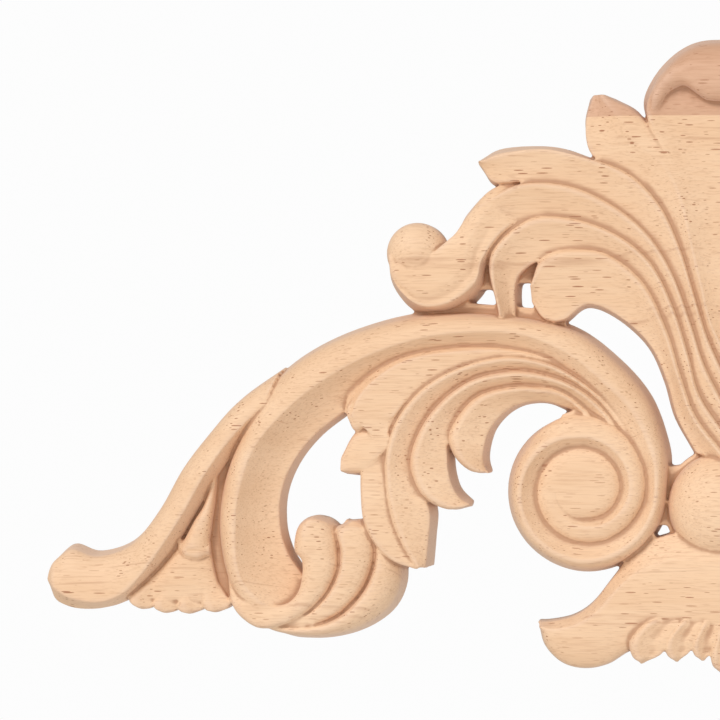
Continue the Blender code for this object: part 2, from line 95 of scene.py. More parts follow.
# %% [markdown]
# ## Sections
#
# Across a strip the wood climbs from the near edge to a ridge and falls to the far edge. A gouge leaves a
# hollow side, a chisel and sandpaper a round one, and some sides have a form of their own. Below its edge
# each strip has a wall down to the back. Where the wall shows, it leans out a little, because the cutter
# that sawed the outline is tapered. Where the strip meets a neighbour, it runs a lap further, so that the
# two cross in a clean vein.

# %% One side of a section
LEAN = -0.9  # a free wall's top stands this far inside its foot, in millimetres
LAP = 0.5  # how far a strip runs into its neighbour


def side(count, form):
    """Shares of the way from the ridge to an edge, and how much of the fall is left at each. The form is 0
    for a round side, the power of a hollow one, or a line of such pairs."""
    even = np.arange(1, count + 1) / count
    if isinstance(form, list):
        return line_at(form, even * (len(form) - 1)).T
    if form:
        return even, (1 - even) ** form
    return np.sin(even * math.pi / 2), np.cos(even * math.pi / 2)


# %% A strip, from a grid
body = bmesh.new()
BACK_RUN = 1.5  # the strips run this far past the back, which is sawn off flat later
MOST_LEAN = 0.3  # a wall leans in by no more than this share of the strip's width


def strip(near, far, crest, ridge=0.3, edges=(0.6, 0.6), forms=(0, 1.5), laps=(LEAN, LEAN), faces=(6, 9)):
    """Adds one closed strip to the body, in millimetres. crest is the ridge's height over the back, and
    ridge its share of the way across, or a line. edges, forms, laps and faces are for the near and the far
    side: how high the edge is as a share of the crest, the form of the side, its lap or lean, and its
    number of faces."""
    places = places_along(near, far)
    shares = places / (len(near) - 1)
    ends = [line_at(near, places), line_at(far, places)]
    if isinstance(ridge, list) and isinstance(ridge[0], tuple):
        top = line_at(ridge, places)
    else:
        top = ends[0] + (ends[1] - ends[0]) * along(ridge, shares)[:, None]
    height = along(crest, shares)
    width = np.linalg.norm(ends[1] - ends[0], axis=1)
    columns = [(top, height)]
    for i in (0, 1):
        out = ends[i] - top
        out /= np.maximum(np.linalg.norm(out, axis=1, keepdims=True), 0.01)
        lap = np.maximum(along(laps[i], shares), -MOST_LEAN * width)[:, None]
        edge, foot = ends[i] + out * lap, ends[i] + out * np.maximum(lap, 0)
        low = along(edges[i], shares)
        made = []
        for share, left in zip(*side(faces[i], forms[i])):
            made.append((top + (edge - top) * share, height * (low + (1 - low) * left)))
        made.append((foot, np.zeros(len(places))))
        columns = columns + made if i else made[::-1] + columns
    piece = bmesh.new()
    bmesh.ops.create_grid(piece, x_segments=len(columns) - 1, y_segments=len(places) - 1, size=0.5)
    for v in piece.verts:
        plan, rise = columns[round((v.co.x + 0.5) * (len(columns) - 1))]
        row = round((v.co.y + 0.5) * (len(places) - 1))
        v.co = (plan[row][0], -rise[row], plan[row][1])
    made = bmesh.ops.extrude_face_region(piece, geom=piece.faces[:], use_keep_orig=True)
    for v in made["geom"]:
        if isinstance(v, bmesh.types.BMVert):
            v.co.y = BACK_RUN
    add_to_body(piece)


def add_to_body(piece):
    """Welds a closed piece, turns its faces outward and adds it to the body."""
    bmesh.ops.remove_doubles(piece, verts=piece.verts, dist=1e-4)
    bmesh.ops.recalc_face_normals(piece, faces=piece.faces)
    mesh = bpy.data.meshes.new("strip")
    piece.to_mesh(mesh)
    piece.free()
    body.from_mesh(mesh)
    bpy.data.meshes.remove(mesh)


# %% A turned boss
CURVE_STEPS = 12  # faces from a boss's skirt to its top
TURN_STEPS = 72  # faces round a boss


def dome(centre, radius, skirt, top):
    """Adds a round boss: a curved top on a straight skirt."""
    profile = [(0, BACK_RUN), (radius, BACK_RUN), (radius, -skirt)]
    for i in range(1, CURVE_STEPS + 1):
        turn = math.pi / 2 * i / CURVE_STEPS
        profile.append((radius * math.cos(turn), -skirt - (top - skirt) * math.sin(turn)))
    piece = bmesh.new()
    verts = [piece.verts.new((r, y, 0)) for r, y in profile]
    edges = [piece.edges.new(pair) for pair in zip(verts, verts[1:])]
    bmesh.ops.spin(
        piece, geom=verts + edges, cent=(0, 0, 0), axis=(0, 1, 0), angle=2 * math.pi, steps=TURN_STEPS,
        use_merge=True
    )
    bmesh.ops.translate(piece, verts=piece.verts, vec=Vector((centre[0], 0, centre[1])))
    add_to_body(piece)


# %% [markdown]
# ## The long arch
#
# The biggest form is one strip that runs from the volute over the top and down into the lower scroll: a
# round back, a crisp crease, and a wide cove on the inside. The crease isn't at a fixed share of the
# width, so it gets a line of its own.

# %% The arch and its cove
ARCH_BACK = [
    (-14.4, -4.5), (-13, 1), (-12.4, 8), (-12.9, 15), (-17.1, 26.6), (-25, 36), (-36, 44), (-50, 47.3),
    (-66, 48.2), (-80, 46.7), (-95, 41.9), (-107, 35), (-115.5, 26), (-121.5, 14), (-124.9, 2.4),
    (-125.5, -9), (-122.6, -21), (-116.3, -29.7), (-107, -33.7), (-99, -34),
]
ARCH_CREASE = [
    (-18, -5), (-16.6, 1), (-16.3, 8), (-17.5, 14), (-22, 23.5), (-29, 30.5), (-38, 37.6), (-50, 42.2),
    (-65, 42.4), (-77, 40.3), (-89, 35.8), (-100, 29.3), (-108.5, 22), (-115.4, 13.5), (-119, 3.3),
    (-120.1, -8), (-118.8, -17.8), (-114, -23.8), (-108, -26.8), (-101, -28),
]
ARCH_HEM = [
    (-20.4, -4), (-19, 1), (-19.5, 8), (-22, 12), (-27, 20), (-33, 26), (-41, 32), (-52, 36),
    (-64, 36.3), (-73, 34.5), (-82, 30.5), (-91, 23.5), (-99.5, 17), (-105.2, 10), (-108.3, 2.3),
    (-108.6, -5.5), (-107, -11.5), (-104.4, -16), (-102, -20.5), (-98, -25),
]
strip(
    ARCH_BACK, ARCH_HEM, crest=[11.9, 12.9, 13, 13, 13, 12.4, 11], ridge=ARCH_CREASE,
    edges=(0.42, [0.78, 0.72, 0.7, 0.66, 0.56, 0.52, 0.58]), forms=(0, 1.7),
    laps=(LEAN, [LAP, LAP, LAP, LAP, LEAN, LEAN, LEAN, LAP]), faces=(10, 16),
)

# %% [markdown]
# ## The foot and the husk
#
# The arch splits low down. Its outer branch is the foot, a broad low roll with a crest near the inner
# edge and a blunt, rounded end. A small bellflower, the husk, hangs in the split: a slim cone, a bead and
# a skirt that ends in four scallops.

# %% The foot
FOOT_TOP = [
    (-168.3, -17.1), (-167.2, -14.5), (-165.4, -12.3), (-162.4, -10.8), (-156.8, -12.6), (-150, -11),
    (-145.1, -7.4), (-139.5, 0), (-134, 9.6), (-127.5, 18), (-120, 26.2), (-109, 34),
]
FOOT_CREST = [
    (-168.6, -19.3), (-167.1, -20.4), (-165, -22.2), (-161, -24), (-154.7, -24.7), (-148.5, -22.4),
    (-143.6, -17.4), (-138.3, -10.2), (-133.2, -2.3), (-127.3, 8), (-120.6, 17), (-112.5, 25.5),
]
FOOT_HEM = [
    (-168.4, -21.7), (-167.2, -24.1), (-165.2, -25.6), (-161, -26.8), (-154.7, -26.6), (-148, -24.4),
    (-141.7, -18.3), (-136, -11.2), (-131, -3), (-125.4, 6.5), (-118.7, 15.5), (-111, 23),
]
WALL_SIDE = [(0, 1), (0.1, 0.96), (0.9, 0.06), (1, 0)]  # a straight bevel from the crest down
strip(
    FOOT_TOP, FOOT_HEM, crest=[8, 10.4, 10.9, 11.3, 11.8, 12.2, 12.4, 12.2, 11], ridge=FOOT_CREST,
    edges=([0.8] + [0.5] * 6, 0.62), forms=(0, WALL_SIDE), laps=([0] + [LEAN] * 6, 0), faces=(14, 7)
)

# %% The husk
HUSK = {"forms": (0, 0), "laps": (0.1, 0.1)}
strip(
    [(-126.2, 6.4), (-128.3, 0), (-131.2, -5), (-134.3, -11)],
    [(-125.2, 6.4), (-125.9, 0), (-126.6, -5), (-127.4, -11.4)],
    crest=[8, 9.4, 10.4, 10.8], ridge=0.45, edges=(0.74, 0.74), **HUSK
)
strip(
    [(-134.6, -8.8), (-132.4, -10.6), (-129.6, -11), (-126.9, -9.8)],
    [(-135.2, -11.4), (-133, -13.3), (-129.8, -13.9), (-126.7, -12.9)],
    crest=[8.6, 10.4, 10.6, 9.4], ridge=0.5, edges=(0.84, 0.84), **HUSK
)
SKIRT_LEFT = [(-135.2, -11.6), (-137.8, -15), (-142.2, -19.2), (-147.2, -23.4)]
SKIRT_RIGHT = [(-127, -11.6), (-126.2, -16), (-124.9, -20.5), (-122.4, -24.6)]
SKIRT_NOTCHES = [(-147.4, -23.8), (-141.3, -25.1), (-135.1, -25.7), (-128.6, -25.3), (-122, -24.8)]
SKIRT_MIDDLE = -131
strip(
    SKIRT_LEFT, SKIRT_RIGHT, crest=[9, 9.5, 9.6, 9.2], ridge=0.45, edges=(0.8, 0.8), laps=(0.4, 0.1),
    forms=(0, 0)
)
SCALLOP_LAP = [0.2, 0.2, 0, LEAN]
for left, right in zip(SKIRT_NOTCHES, SKIRT_NOTCHES[1:]):
    a, b = Vector(left), Vector(right)
    up_a, up_b = (Vector(((SKIRT_MIDDLE - p.x) * 0.4, 5.5)) for p in (a, b))
    down = Vector((0, -2.2))
    strip(
        [a + up_a, a + up_a * 0.45, a, a.lerp(b, 0.1) + down * 0.7, a.lerp(b, 0.36) + down],
        [b + up_b, b + up_b * 0.45, b, a.lerp(b, 0.9) + down * 0.7, a.lerp(b, 0.64) + down],
        crest=[8.4, 9.3, 9.7, 9.6, 8.8], ridge=0.3, edges=(0.9, 0.88), laps=(SCALLOP_LAP, SCALLOP_LAP),
        forms=(0, 1.3)
    )

# %% [markdown]
# ## The lower scroll
#
# The arch's back runs on under the bowl of the cove and curls up as the first of three rolls. The other
# two lie outside it, one round the other. Each has a thin bright rim on its inner edge, a round back, and
# a steep wall down to the next rim.

# %% Three rolls
ROLL_BACK = [(0, 1), (0.3, 0.97), (0.6, 0.86), (0.78, 0.68), (0.84, 0.56), (1, 0)]
ROLLS = [
    (
        [
            (-119.5, -18), (-116, -22.6), (-111.5, -25.1), (-107.2, -24.8), (-104.3, -22), (-103.2, -17.8),
            (-103.5, -14), (-105.9, -11.6), (-106.4, -8.4), (-105.7, -5.8), (-103.6, -3.9), (-101.4, -3.2),
        ],
        [
            (-122.6, -17), (-120.8, -25.4), (-115, -30.4), (-108.5, -30), (-102.3, -27), (-97.2, -22),
            (-94.2, -15.9), (-94, -11), (-94.5, -7.4), (-95.8, -4.9), (-97.8, -3.6), (-100.2, -3.1),
        ],
        [8.5, 11.6, 12.2, 12.5, 12.7, 12.7, 12.6, 12, 9.8], [0.6, 0.5, 0.42, 0.36, 0.36],
        ([0.92, 0.92, 0.84, 0.7, 0.5, 0.5], [0.84, 0.88, 0.74, 0.58, 0.58, 0.58]), (0, ROLL_BACK),
        ([0.2, 0.2, 0.2, LEAN, LEAN], [0.2, 0.2, 0.2, 0.2, 0.2, LEAN]),
    ),
    (
        [
            (-116, -28.4), (-104.5, -28.2), (-98, -23.9), (-94.3, -17.5), (-93.6, -12), (-94.5, -8),
            (-94.9, -5.8), (-92.8, -4.3),
        ],
        [
            (-114, -31), (-103.5, -30.8), (-94.6, -27.2), (-88.3, -21), (-85.3, -14), (-85, -9.5),
            (-85.8, -6), (-89.6, -4),
        ],
        [8.5, 11, 12, 12.4, 12.4, 12, 9.8], [0.3, 0.14, 0.14, 0.16, 0.5],
        (0.62, [0.94, 0.8, 0.62, 0.6, 0.6]), (0, ROLL_BACK), ([LAP] * 6 + [0.2, LEAN], 0.2),
    ),
    (
        [
            (-117.5, -27.2), (-110.5, -30.3), (-100.5, -30.3), (-94, -28), (-88, -22), (-85.1, -15),
            (-85, -9),
        ],
        [
            (-117, -29), (-109.6, -32.9), (-100, -34.1), (-90, -32.1), (-82, -27.2), (-78.3, -20.5),
            (-78, -12),
        ],
        [8, 10.2, 11.3, 11.6, 11.7, 11.5, 11], [0.4, 0.2, 0.12, 0.12, 0.12],
        (0.64, 0.45), (0, 0), (LAP, LEAN),
    ),
]
for near, far, crest, ridge, edges, forms, laps in ROLLS:
    strip(near, far, crest, ridge, edges, forms, laps, faces=(6, 14))

# %% [markdown]
# ## The volute
#
# A volute is a band that winds inward on a spiral. Its three lines, the outer edge, the ridge and the
# groove, are given by their radius at each quarter turn. It is made as strips that overlap in length,
# because one strip that ran over itself would have no clear inside. The last strips fill the eye, from
# the groove to the centre.

# %% Spiral lines and the winding band
VOLUTE_CENTRE = (-33.8, 4)
VOLUTE_OUTER = [21, 21.3, 20.8, 19.2, 17.9, 14.8, 12.7, 11.4, 10.4]
VOLUTE_RIDGE = [17.4, 17.4, 17.1, 15.2, 12.9, 11.3, 9, 8, 7]
VOLUTE_GROOVE = [15.2, 14.8, 12.7, 11.3, 10.1, 8.7, 6.4, 5.8, 5.8]
FIRST_QUARTER = -1
VOLUTE_FLOOR = 6.9


def spiral(radii, start, end):
    """Points of the spiral, four to a quarter turn, clockwise from the right side."""
    x, z = VOLUTE_CENTRE
    points = []
    for i in range(round((end - start) * 4) + 1):
        quarter = start + i / 4
        radius = np.interp(quarter - FIRST_QUARTER, range(len(radii)), radii)
        turn = quarter * math.pi / 2
        points.append((x + radius * math.cos(turn), z - radius * math.sin(turn)))
    return points


for start, end, crest, low, inner, lap in (
    (-0.5, 3, [9, 12.5, 12.5, 12.5, 12.5], 0.42, 0.76, LEAN),
    (2, 5, [8.5, 12.5, 12.2, 11.8], 0.7, 0.76, [-2, LAP, LAP, LAP]),
    (4, 6.25, [8.5, 11.9, 11.5, 11.3], 0.74, [0.76, 0.79, 0.95, 1], LAP),
):
    strip(
        spiral(VOLUTE_OUTER, start, end), spiral(VOLUTE_GROOVE, start, end), crest,
        spiral(VOLUTE_RIDGE, start, end), edges=(low, inner), forms=(0, 1.6), laps=(lap, LAP)
    )
for start, end, low in ((2, 4.5, 0.78), (4, 6, [0.78, 0.82, 0.98, 1])):
    rim = spiral(VOLUTE_GROOVE, start, end)
    centre = [VOLUTE_CENTRE] * len(rim)
    strip(rim, centre, crest=11.4, ridge=0.5, edges=(low, 1), forms=(0, 1), laps=(LAP, 0))
dome(VOLUTE_CENTRE, 16, VOLUTE_FLOOR, VOLUTE_FLOOR + 0.1)

# %% [markdown]
# ## The hanging leaf
#
# The leaf springs from the volute with three long lobes side by side. Each has a thin bright ridge along
# its outer edge and falls in a shallow hollow to the next one's foot. On the other side of the main vein
# are a smooth cheek and three lobes below it, which overlap like tiles. The last runs down to the tip.

# %% The long lobes
MAIN_VEIN = [
    (-23, 18), (-30.2, 27), (-40, 33.8), (-50, 36.4), (-58.2, 35.6), (-67, 32.5), (-74.2, 27.7),
    (-79.4, 21.1), (-82.2, 12.7), (-82.3, 4.7), (-81, -3.7), (-77.8, -10.9), (-74.6, -15.3),
]
SECOND_VEIN = [
    (-23, 16.2), (-30.4, 25), (-38, 30), (-46.5, 32.4), (-54, 32.3), (-61.5, 30.2), (-68.5, 25.2),
    (-73.5, 18.5),
]
THIRD_VEIN = [
    (-28, 18.5), (-33.4, 23.7), (-38.3, 27.7), (-46, 29), (-52, 28.9), (-58.5, 27.2), (-63, 23.5),
    (-66.4, 17.5),
]
LEAF_HEM = [
    (-34, 21.5), (-38.4, 23.2), (-42, 24.7), (-45.5, 25), (-49.4, 24.2), (-52.9, 22), (-55.8, 18.5),
    (-57.2, 14.3), (-57.5, 11), (-56.8, 8.2),
]
LEAF_LEAN = -1.1  # the leaf's free walls lean a little more
LOBE = {"forms": (0, 1.2), "faces": (6, 11)}
strip(
    MAIN_VEIN, SECOND_VEIN + [(-76, 10.5), (-74, 3.6), (-70.6, -1), (-70.9, -8.5), (-71.5, -15.6)],
    crest=[10.2, 12.8, 12.9, 12.9, 12.7, 12.2], ridge=[0.25, 0.2, 0.16, 0.15, 0.15],
    edges=(0.72, [0.8, 0.78, 0.76, 0.74, 0.84, 0.86]), laps=(LAP, [0.2] * 5 + [LEAF_LEAN] * 2), **LOBE
)
strip(
    SECOND_VEIN + [(-76, 10.5), (-73.4, 2.6), (-67.4, -1.5), (-61.8, -0.7)],
    THIRD_VEIN + [(-66.2, 11.4), (-65.7, 7.2), (-64.4, 3.6), (-61.4, 0.6)],
    crest=[10, 12.6, 12.8, 12.8, 12.4, 11], ridge=[0.25, 0.2, 0.16, 0.16, 0.3],
    edges=([0.76, 0.76, 0.76, 0.8], [0.8, 0.78, 0.76, 0.84, 0.86]),
    laps=([LAP] * 4 + [LEAN], [0.2] * 3 + [LEAF_LEAN] * 2), **LOBE
)
strip(
    THIRD_VEIN[:1] + THIRD_VEIN[2:] + [(-65.3, 11.9), (-61.6, 7.9), (-57, 7.6)], LEAF_HEM,
    crest=[9.8, 12.3, 12.4, 12.2, 10.6], ridge=[0.3, 0.2, 0.16, 0.2, 0.4], edges=(0.76, [0.8, 0.8, 0.86]),
    laps=([LAP] * 3 + [LEAN], LEAF_LEAN), **LOBE
)

# %% The cheek and the lobes below it
LEAF_TOP = [
    (-29, 26.5), (-37, 33), (-45, 36.6), (-55, 38.1), (-66, 37.7), (-76, 36), (-83, 32.4),
    (-88.6, 27.2), (-91, 21.9),
]
LEAF_CHANNEL = [
    (-28, 28.5), (-36, 35), (-44, 38.6), (-55, 40.3), (-67, 40), (-78, 37.9), (-85.4, 34),
    (-90.8, 28.2), (-92.6, 22.5),
]
CHEEK_SIDE = [(0, 1), (0.5, 0.96), (0.84, 0.82), (0.93, 0.5), (1, 0)]
strip(
    LEAF_CHANNEL, MAIN_VEIN[1:8] + [(-81.6, 17), (-82, 14)], crest=[8.4, 11.2, 12, 12.4, 12.4],
    ridge=LEAF_TOP, edges=(0.74, 0.74), forms=(1.6, CHEEK_SIDE), laps=(LAP, LAP), faces=(6, 14)
)
OUTER_LOBES = [
    (
        [(-92, 20.8), (-90.2, 17.3), (-86.6, 18.4), (-81.4, 20.2)],
        [(-92, 24), (-89.6, 26.6), (-84, 29.4), (-76, 27.5)], [11.6, 12.2, 12.4],
    ),
    (
        [(-93.8, 7.2), (-89.4, 6.9), (-86, 8.2), (-82.4, 12.4)],
        [(-93.6, 11.5), (-90.5, 16.9), (-86.6, 18.6), (-81.4, 20.6)], [11.4, 12, 12.2],
    ),
    (
        [(-89.6, 9.4), (-89.6, 2.5), (-88.8, -4.5), (-85.4, -10.9), (-80.6, -14.8), (-74.8, -16.1)],
        [(-82.2, 12.7), (-82.3, 4.7), (-81, -3.7), (-78.9, -8.9), (-76.9, -12.3), (-74.3, -15.4)],
        [11.6, 12, 12.2, 12, 11.6],
    ),
]
for near, far, crest in OUTER_LOBES:
    strip(
        near, far, crest, ridge=0.3, edges=(0.86, 0.76), forms=(0, CHEEK_SIDE), laps=(LEAN, LAP),
        faces=(6, 12)
    )

# %% [markdown]
# ## The upper spray
#
# Five long lobes fan out from one point above the boss. They are flutes: each has its ridge on the outer
# edge and a shallow hollow face that ends at the foot of the next ridge. The first two hook down beside
# small pierced eyes, the third swells and curls up round a ball, and the last two end in leaf tips.

# %% Five lobes
SPRAY_HEM = [
    (-7.2, 13.2), (-11.8, 21.6), (-14.4, 30.5), (-18.4, 39), (-25.8, 45.8), (-33, 48.6), (-38.6, 44.8),
    (-43.4, 45), (-46.4, 49),
]
SPRAY_VEINS = [
    [(2, 11), (-6.4, 21.5), (-10.3, 31.5), (-13.8, 43), (-19.4, 54.2), (-28, 61.2), (-37, 62.4)],
    [(2, 15.5), (-5.5, 26.5), (-8.5, 37), (-12.1, 48.3), (-17.6, 59), (-26, 66), (-37, 70)],
    [(2, 21.5), (-4.4, 34), (-7.6, 43.8), (-12.1, 56.2), (-18.2, 66), (-27.2, 73.4), (-38.6, 78.5)],
    [(2, 28.5), (-3.4, 40), (-6.8, 51), (-10.6, 63.3), (-15.6, 73.6), (-23.3, 81.4), (-33, 86.2)],
    [(2, 35), (-3, 45.2), (-5.2, 54), (-7.4, 63.5), (-9.3, 72.8), (-12.4, 83), (-17, 92)],
]
FLUTE = {"forms": (1.7, 0), "faces": (12, 4)}
strip(
    SPRAY_HEM, SPRAY_VEINS[0] + [(-43.8, 60.6), (-46.9, 55)], crest=[12, 12, 12, 12, 11],
    ridge=[0.84, 0.88, 0.92, 0.93, 0.8], edges=([0.72, 0.76, 0.82, 0.82], 0.84),
    laps=(LEAN, [LAP] * 8 + [LEAN]), **FLUTE
)
strip(
    SPRAY_VEINS[0] + [(-44.8, 60.8), (-49.2, 54.6), (-49.3, 46.5)],
    SPRAY_VEINS[1] + [(-47.5, 69.6), (-57, 61), (-55.4, 46.5)],
    crest=[12.2, 12.4, 12.4, 12.2, 11.2], ridge=[0.85, 0.88, 0.92, 0.9, 0.8],
    edges=([0.86, 0.86, 0.84, 0.84, 0.7], 0.84),
    laps=([LAP] * 8 + [-1.4, -1.4], [LAP] * 4 + [LEAN]), **FLUTE
)
strip(
    SPRAY_VEINS[1] + [(-47.5, 69.7), (-56.5, 62)], SPRAY_VEINS[2] + [(-50, 79.7), (-60, 76)],
    crest=[12.4, 12.6, 12.6, 12.6, 12], ridge=[0.85, 0.88, 0.9, 0.88, 0.8],
    edges=(0.86, [0.84, 0.84, 0.84, 0.7]), laps=(LAP, [LAP] * 3 + [-1.6]), **FLUTE
)
strip(
    SPRAY_VEINS[2] + [(-49, 79.6), (-56, 79), (-59.3, 83)],
    SPRAY_VEINS[3] + [(-42, 88.8), (-54, 88.5), (-60, 85.6)],
    crest=[12.5, 12.8, 12.8, 12.6, 11], ridge=[0.85, 0.88, 0.9, 0.85, 0.6],
    edges=(0.86, [0.84, 0.84, 0.8, 0.72]), laps=([LAP] * 3 + [LEAN], [LAP] * 3 + [-1.8, -1.8]), **FLUTE
)
strip(
    SPRAY_VEINS[3][:6] + [(-31.6, 86.2), (-33.8, 94), (-32.6, 100.6)],
    SPRAY_VEINS[4][:6] + [(-16.4, 90.8), (-20.6, 97.2), (-26.5, 100.6)], crest=[12.5, 13.2, 13.6, 13.4, 12],
    ridge=[0.9, 0.95, 0.96, 0.7, 0.5], edges=(0.84, [0.96, 0.96, 0.96, 0.8]),
    laps=([LAP, LAP, LAP, -1.2], [0.2, 0.2, 0.2, -1.8]), **FLUTE
)

# %% [markdown]
# The third lobe's end swells into a shallow dish that curls up round a ball, like a snail. It has a wide
# bevel along its lower edge.

# %% The curled end and its ball
strip(
    [
        (-44, 71), (-52, 66.4), (-57.4, 58.6), (-59, 52.2), (-65.4, 47), (-72.5, 46.2), (-78, 49.2),
        (-82, 54.8), (-83, 61),
    ],
    [
        (-46, 80), (-56.6, 78.2), (-63, 72.4), (-66, 66.8), (-69.5, 62.5), (-73, 60), (-76, 59.6),
        (-78.6, 60.5), (-80, 62.6),
    ],
    crest=[9.5, 12.2, 12.2, 12, 12, 11.6, 10], ridge=[0.8, 0.6, 0.5, 0.4, 0.4],
    edges=([0.84, 0.66, 0.62, 0.62, 0.6], [0.8, 0.86, 0.96, 0.94, 0.86]),
    forms=([(0, 1), (0.4, 0.86), (0.75, 0.93), (0.82, 0.86), (1, 0)], [(0, 1), (0.6, 0.7), (1, 0)]),
    laps=([LAP, LEAN, -2, -1.8, -1.4], [LAP, -1.6, LAP, LAP, LAP]), faces=(12, 8)
)
dome((-75.1, 62.2), 7.6, 6, 12.2)

# %% [markdown]
# ## The middle
#
# Above the boss stands one broad leaf, dished between its two raised edges. Its end curls forward into a
# head that overhangs the dish. The boss itself is the tallest turned form.

# %% Dish, head and boss
PAST_MIDDLE = 3.0  # strips that cross the middle plane end here, and are sawn off at the plane
DISH_EDGE = SPRAY_VEINS[4] + [(-18, 98), (-15, 105)]
strip(
    DISH_EDGE, [(PAST_MIDDLE, z) for _, z in DISH_EDGE], crest=[12, 12.9, 13.3, 13.4, 12.6], ridge=0.03,
    edges=(0.97, [0.9, 0.84, 0.85, 0.92]), forms=(1, 2.4), laps=(0.3, 0.1), faces=(2, 18)
)
HEAD_BACK = [(-17.6, 93), (-19.4, 98.5), (-18.4, 103), (-15, 108.3), (-10.2, 112.5), (-4.8, 114.6)]
HEAD_LIP = [(-15.9, 93.3), (-14.9, 97), (-12.8, 100.6), (-9.4, 102.3), (-6.2, 100.4), (-3.4, 98.8)]
strip(
    HEAD_BACK + [(PAST_MIDDLE, 114.8)], HEAD_LIP + [(PAST_MIDDLE, 98.4)],
    crest=[12.5, 14.2, 15.2, 15.8, 16], ridge=0.55, edges=(0.4, [0.86, 0.82, 0.82]), forms=(0, 0),
    laps=(-1.4, 0), faces=(12, 8)
)
dome((0, 0), 13.2, 6.5, 16)
dome((0, 0), 14.3, 6, 6.1)  # the low ground round the boss

# %% [markdown]
# ## The lower leaf
#
# Under the boss a smooth body spreads into a wing on each side, with a bevel along its upper edge. Its
# lower edge breaks into small scooped fingers.

# %% Wing and fingers
WING_TOP = [
    (-45.3, -28.7), (-41.8, -28.5), (-36.4, -27.2), (-31.7, -24), (-26.8, -17.8), (-22.2, -12.1),
    (-15.6, -7.7), (-6, -6),
]
WING_CREST = [
    (-44.4, -29.7), (-41, -30.2), (-35.6, -29), (-30.4, -25.6), (-24.8, -19.4), (-19.4, -15.4),
    (-12, -13), (-6, -13),
]
WING_HEM = [
    (-45.3, -30), (-43.8, -35.2), (-39.6, -39.4), (-34, -40.8), (-28, -39.6), (-21.8, -36),
    (-13.8, -35.2), (-6.8, -35),
]
strip(
    WING_TOP + [(PAST_MIDDLE, -6)], WING_HEM + [(PAST_MIDDLE, -36)], crest=[10, 10.6, 11.2, 12, 12.6],
    ridge=WING_CREST + [(PAST_MIDDLE, -13)], edges=([0.68, 0.68, 0.72, 0.84], [0.62, 0.62, 0.64, 0.66]),
    forms=(1, 0), laps=(0, LEAN), faces=(5, 16)
)
SCOOP = [(0, 1), (0.3, 0.25), (0.6, -0.1), (1, 0.55)]
FINGERS = [
    (
        [(-14.6, -25.5), (-19, -28.6), (-22.4, -33), (-21.9, -37), (-20.3, -38.7)],
        [(-9.5, -25.5), (-11.6, -28.6), (-14, -32.4), (-14.6, -35.9), (-18.8, -38.4)],
    ),
    (
        [(-8.4, -25.5), (-11, -28.8), (-13.9, -33), (-13.4, -36.6), (-11.8, -38.2)],
        [(-4, -25.5), (-5.8, -28.6), (-7.4, -32.2), (-7.8, -35.3), (-10.4, -37.9)],
    ),
    (
        [(-3.4, -25.5), (-5.2, -28.8), (-7.2, -33), (-6.9, -36.4), (-5.4, -37.8)],
        [(-0.6, -25.5), (-1.2, -28.6), (-2.2, -32.2), (-2.6, -35.6), (-4, -37.5)],
    ),
    (
        [(-0.6, -26), (-1.6, -31), (-2.8, -35.5), (-2.4, -39), (-1, -40.6)],
        [(PAST_MIDDLE, z) for z in (-26, -31, -35.5, -39, -41.1)],
    ),
]
for near, far in FINGERS:
    strip(
        near, far, crest=[10, 12, 11.9, 11, 9.8], ridge=[0.3, 0.22, 0.22, 0.35], edges=(0.84, 0.92),
        forms=(0, SCOOP), laps=(SCALLOP_LAP, SCALLOP_LAP), faces=(5, 10)
    )

# %% [markdown]
# ## The ground
#
# Where the carving isn't pierced, low ground ties the neighbours together. These are plain flat strips.

# %% Webs of low ground
WEBS = [
    ([(-15, 9.4), (-15, 3), (-15.5, -4.8)], [(-9.5, 10), (-11, 3), (-11.5, -4.8)], 6),
    (
        [(-72.4, 47.2), (-67, 47.3), (-57, 47.3), (-44, 45.4), (-37.6, 43)],
        [(-72, 50), (-67, 50), (-60, 49.6), (-46, 48.4), (-39.4, 47)], 6.2,
    ),
    ([(-62, 53.2), (-58.6, 62)], [(-54.6, 53.2), (-55.4, 62)], 6),
    ([(-50.5, 54.8), (-48, 62)], [(-45, 54.8), (-42, 62)], 6),
    (
        [(-127, 4), (-133, -7), (-139, -16), (-143, -21.5)],
        [(-122.6, 11), (-123.4, -4), (-123.4, -14), (-119.5, -24.5)], 6.3,
    ),
    ([(-93, -4), (-89, -6), (-84, -9), (-79, -14)], [(-96, -9), (-92, -12), (-87, -16), (-82, -20)], 6),
    (
        [(-112, -27), (-102.5, -20), (-101.5, -12), (-100, -6)],
        [(-106, -32), (-90, -29.5), (-80.5, -21), (-83, -12)], 6,
    ),
    ([(-31.5, 22.2), (-36, 23.1), (-39.2, 22.2)], [(-27, 16), (-33, 17), (-38.6, 17)], 9.2),
    ([(-24, -13), (-21, -10.4), (-16.6, -7)], [(-23.4, -15.4), (-19.6, -12.4), (-15.2, -8.8)], 8.4),
]
for near, far, height in WEBS:
    strip(near, far, height, ridge=0.5, edges=(1, 1), forms=(1, 1), laps=(0.1, 0.1), faces=(2, 2))
print("strips joined,", len(body.faces), "faces")

# %% [markdown]
# ## From strips to one piece of wood
#
# The strips still pass through each other. A voxel remesh keeps only what an outside touch would feel,
# which is one closed skin of small even faces. A little smoothing then does the work of sandpaper: ridges
# lose their sharpness and veins their hard bottoms. The half is sawn flat at the back and at the middle
# plane, its flat places are thinned, and a mirror makes the whole.

# %% Melt, sand, saw, thin and mirror
VOXEL = 0.36
SANDING_PASSES = 3
HALF_TRIANGLES = 93000
SEAM = 0.01  # points this near the middle plane lie on it, in millimetres

half_mesh = bpy.data.meshes.new("half")
body.to_mesh(half_mesh)
body.free()
half = bpy.data.objects.new("half", half_mesh)
bpy.context.scene.collection.objects.link(half)


